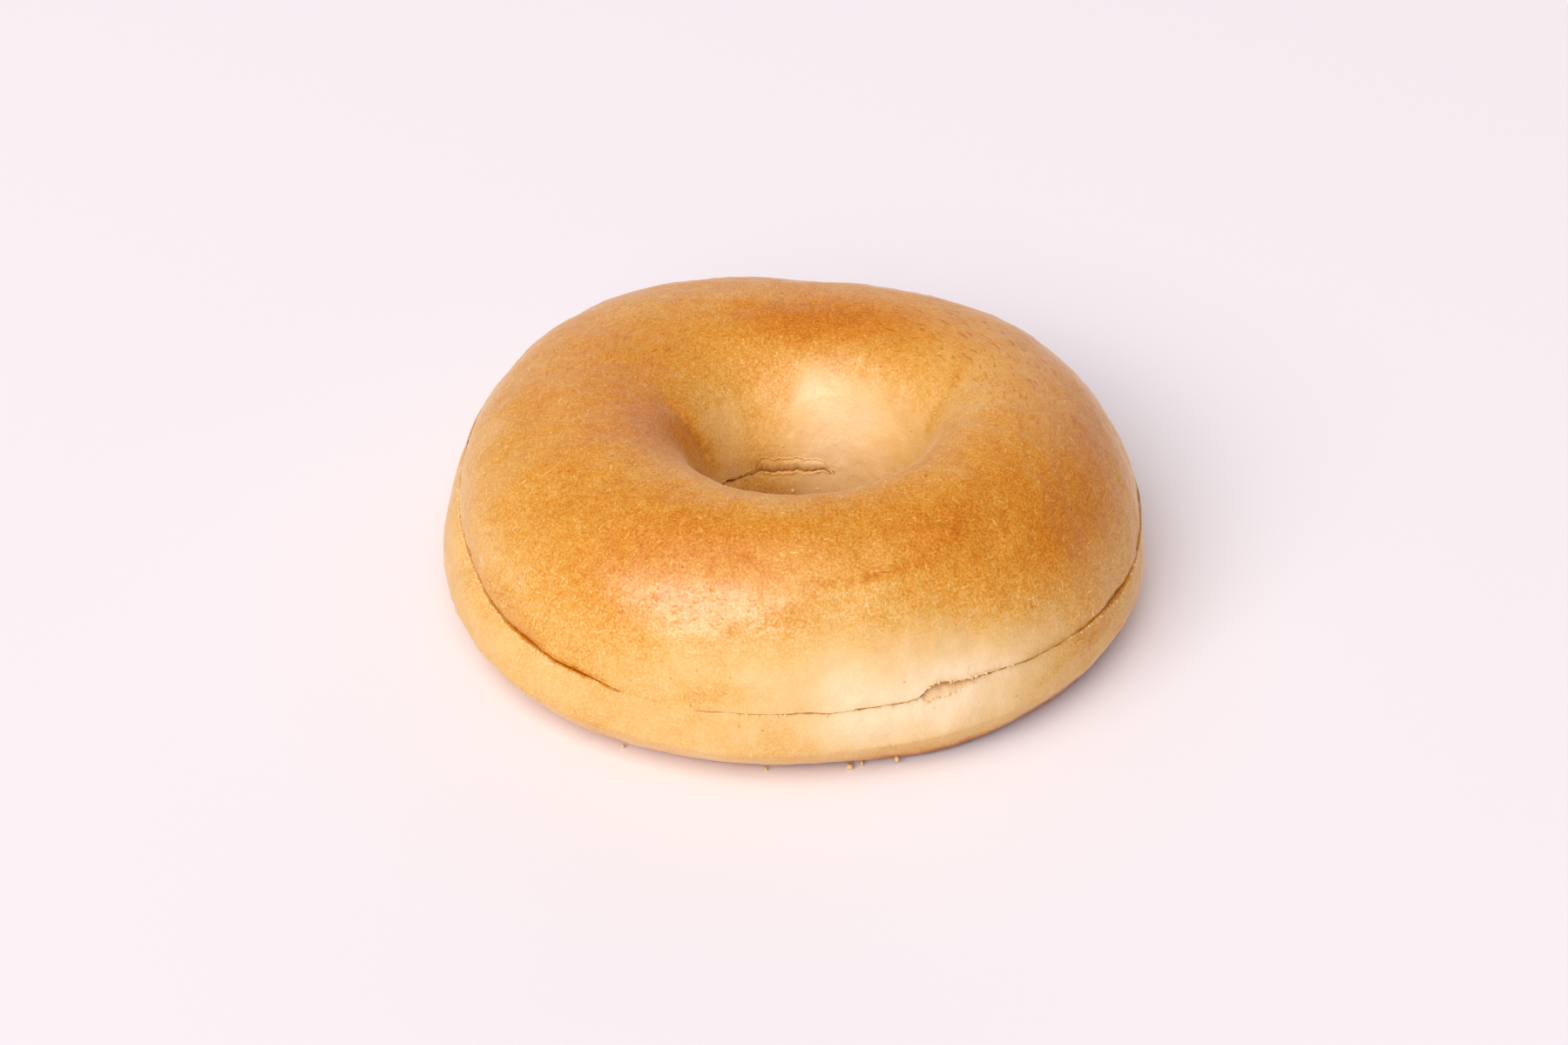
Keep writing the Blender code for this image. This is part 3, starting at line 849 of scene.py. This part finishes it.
def scatter(name, centres, sizes, dice):
    """One mesh of lumpy grains: the middle of each, and its radius in millimetres."""
    bpy.ops.mesh.primitive_ico_sphere_add(subdivisions=2, radius=1.0)
    pattern = bpy.context.object
    ball = np.array([vertex.co for vertex in pattern.data.vertices])
    sides = np.array([tuple(face.vertices) for face in pattern.data.polygons])
    bpy.data.objects.remove(pattern)
    stretch = dice.uniform(*GRAIN_STRETCH, (len(centres), 1, 3))
    lumps = 1.0 + dice.uniform(-GRAIN_LUMPS, GRAIN_LUMPS, (len(centres), len(ball), 1))
    places = centres[:, None, :] + ball[None] * lumps * stretch * sizes[:, None, None]
    places[..., 2] = np.maximum(places[..., 2], 0.0)
    corners = sides[None] + (np.arange(len(centres)) * len(ball))[:, None, None]
    made = bpy.data.meshes.new(name)
    made.from_pydata((places * MM).reshape(-1, 3).tolist(), [], corners.reshape(-1, 3).tolist())
    grains = bpy.data.objects.new(name, made)
    bpy.context.scene.collection.objects.link(grains)
    grains.data.shade_smooth()
    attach(grains, "root")
    return grains


dice = np.random.default_rng(SCATTER_SEED)
lip_rows = {"lower": points.shape[1] - 1, "upper": outer_faces}
centres = []
for number, toward, spread, edge in GRAIN_RUNS:
    at = np.radians(dice.normal(toward, spread, number))
    nearest = np.abs(turn_between(ring.angle, np.degrees(at)[None, :])).argmin(axis=0)
    nearest = nearest[ring.cut[nearest, 0] > CUT_ENOUGH]
    centres.append(points[nearest, lip_rows[edge]] + dice.normal(0.0, CLING_SPREAD, (len(nearest), 3)))
centres = np.concatenate(centres)
sizes = GRAIN_RADIUS[0] + (GRAIN_RADIUS[1] - GRAIN_RADIUS[0]) * dice.random(len(centres)) ** 2
cut_crumbs = scatter("cut_crumbs", centres, sizes, dice)

# Bare crumb: dry, matt and porous, the colour of pale straw.
bare, tree, output = new_material("bare_crumb")
flake = add_node(tree, "ShaderNodeBsdfPrincipled", {
    "Base Color": srgb("#F0CC92"),
    "Roughness": 0.8,
    "Specular IOR Level": 0.2,
})
tree.links.new(flake.outputs["BSDF"], output.inputs["Surface"])
cut_crumbs.data.materials.append(bare)


# --- The loose crumbs ----------------------------------------------------------------------------
# Bigger crumbs that fell from the slit. Five lie against the foot at the front, and a few stuck to
# the wall low in the hole.

# (x, y, height of the middle, radius) in millimetres
LOOSE_CRUMBS = (
    (8.3, -48.7, 0.45, 0.50),
    (10.1, -47.9, 0.35, 0.36),
    (15.3, -47.6, 0.90, 0.50),
    (-4.1, -49.0, 0.35, 0.34),
    (-25.4, -43.9, 0.35, 0.30),
)
# (direction in the hole, height on its wall, radius)
HOLE_CRUMBS = (
    (97.0, 9.6, 0.34),
    (88.0, 9.2, 0.28),
    (80.0, 9.8, 0.24),
    (104.0, 17.9, 0.22),
    (93.0, 13.4, 0.20),
)
centres = [crumb[:3] for crumb in LOOSE_CRUMBS]
for toward, wall_height, _ in HOLE_CRUMBS:
    section = np.abs(turn_between(ring.hole_angle, toward)).argmin()
    # The part of the section that faces the hole, from the crest to the foot
    column = points[section, hole_faces - TOP_ROWS // 2:lower_skin + LOWER_INNER_ROWS]
    centres.append(column[np.abs(column[:, 2] - wall_height).argmin()])
sizes = np.array([crumb[-1] for crumb in LOOSE_CRUMBS + HOLE_CRUMBS])
loose_crumbs = scatter("loose_crumbs", np.array(centres), sizes, dice)
loose_crumbs.data.materials.append(bare)


# --- The stage -----------------------------------------------------------------------------------
# A seamless sheet of pale pink paper, lit by three studio lights: a key softbox low at the front left,
# a big scrim above it, and a wide low scrim behind that brightens the far side.

PAPER_SIZE = 30.0
bpy.ops.mesh.primitive_grid_add(x_subdivisions=2, y_subdivisions=2, size=PAPER_SIZE)
floor = bpy.context.object
floor.name = "paper_floor"

# Uncoated paper: matt, and so pale that only the shadows on it show.
paper, tree, output = new_material("pale_paper")
sheet = add_node(tree, "ShaderNodeBsdfPrincipled", {
    "Base Color": srgb("#F2F0F6"),
    "Roughness": 0.9,
    "Specular IOR Level": 0.2,
})
tree.links.new(sheet.outputs["BSDF"], output.inputs["Surface"])
floor.data.materials.append(paper)
floor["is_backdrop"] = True


def way_to(azimuth, elevation):
    """The unit vector towards an azimuth, counter-clockwise from +X, and an elevation, in degrees."""
    azimuth, elevation = math.radians(azimuth), math.radians(elevation)
    flat = math.cos(elevation)
    return Vector((flat * math.cos(azimuth), flat * math.sin(azimuth), math.sin(elevation)))


def softbox(name, azimuth, elevation, distance, size, power, colour):
    """A rectangular studio light that faces the bagel, with its distance and size in metres."""
    lamp = bpy.data.lights.new(name, "AREA")
    lamp.shape = "RECTANGLE"
    lamp.size, lamp.size_y = size
    lamp.energy = power
    lamp.color = srgb(colour)[:3]
    holder = bpy.data.objects.new(name, lamp)
    holder.location = way_to(azimuth, elevation) * distance
    holder.rotation_euler = (-holder.location).to_track_quat("-Z", "Y").to_euler()
    bpy.context.scene.collection.objects.link(holder)


softbox("key_softbox", 240.0, 34.0, 4.5, (4.0, 1.8), 86.0, "#FFF8F0")
softbox("front_scrim", 239.0, 55.0, 4.5, (5.5, 4.0), 168.0, "#FFF8F6")
softbox("back_scrim", 80.0, 16.0, 4.5, (7.0, 2.0), 60.0, "#FFF4F2")

world = bpy.data.worlds.new("studio")
bpy.context.scene.world = world
world.use_nodes = True
world.node_tree.nodes["Background"].inputs["Color"].default_value = srgb("#FBF2F6")
world.node_tree.nodes["Background"].inputs["Strength"].default_value = 0.32
bpy.context.scene.view_settings.view_transform = "Standard"


# --- The camera ----------------------------------------------------------------------------------
# A long lens in front of the bagel, which looks down on it. It is aimed at a point near the middle, in
# millimetres, from a distance in widths of the bread.

CAMERA_ELEVATION = 37.0
CAMERA_DISTANCE = 5.51
AIM = Vector((-1.4 * MM, 0.4 * MM, 8.6 * MM))
lens = bpy.data.cameras.new("camera")
lens.lens = 88.6
lens.sensor_width = 36.0
camera = bpy.data.objects.new("camera", lens)
away = way_to(270.0, CAMERA_ELEVATION)
camera.location = AIM + away * CAMERA_DISTANCE * BREAD_WIDTH * MM
camera.rotation_euler = (-away).to_track_quat("-Z", "Y").to_euler()
bpy.context.scene.collection.objects.link(camera)
bpy.context.scene.camera = camera

seen_low, seen_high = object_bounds()
sizes = {"cad": [list(cad_low), list(cad_high)], "visual": [list(seen_low), list(seen_high)]}
